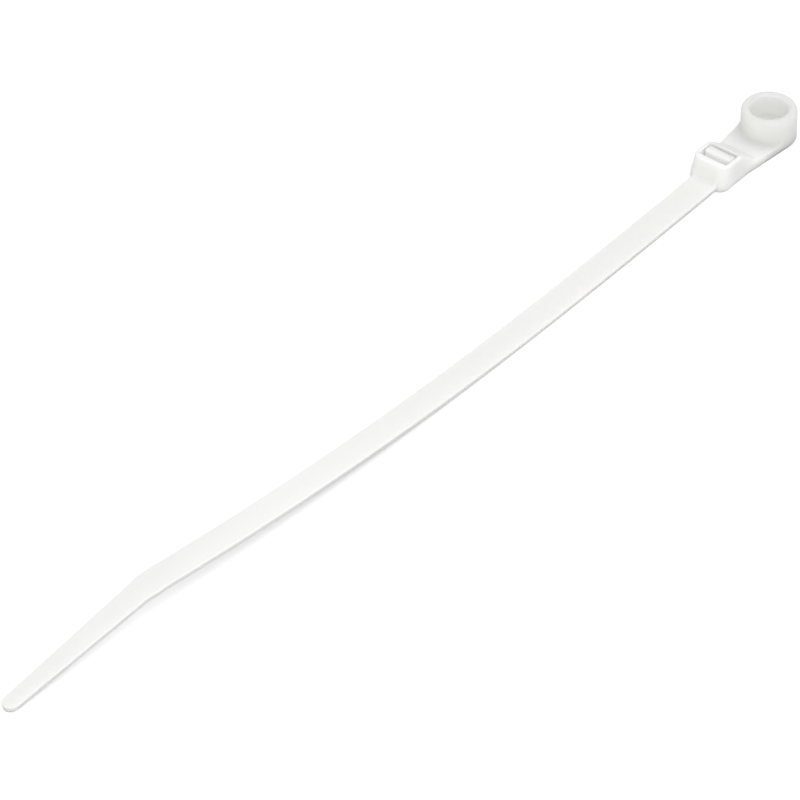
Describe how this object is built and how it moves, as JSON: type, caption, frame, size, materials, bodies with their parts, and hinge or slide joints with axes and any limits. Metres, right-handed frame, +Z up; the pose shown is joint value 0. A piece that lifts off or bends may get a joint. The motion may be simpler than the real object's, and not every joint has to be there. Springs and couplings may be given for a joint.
{
  "type": "cable tie",
  "caption": "Self-locking nylon cable tie with a counterbored screw cup at its head, a ratchet rack under the strap and a bent, tapered tail.",
  "frame": {"origin": "axis of the screw hole in the flat mounting face under the cup", "axes": "+X from the screw hole along the strap to its tip, +Z up the screw hole, away from the mounting face; +Y across the strap"},
  "size_m": [0.1825, 0.0106, 0.0058],
  "materials": {
    "nylon": "natural off-white nylon, translucent, satin"
  },
  "bodies": {
    "root": {"cable_tie": "nylon"}
  },
  "joints": []
}
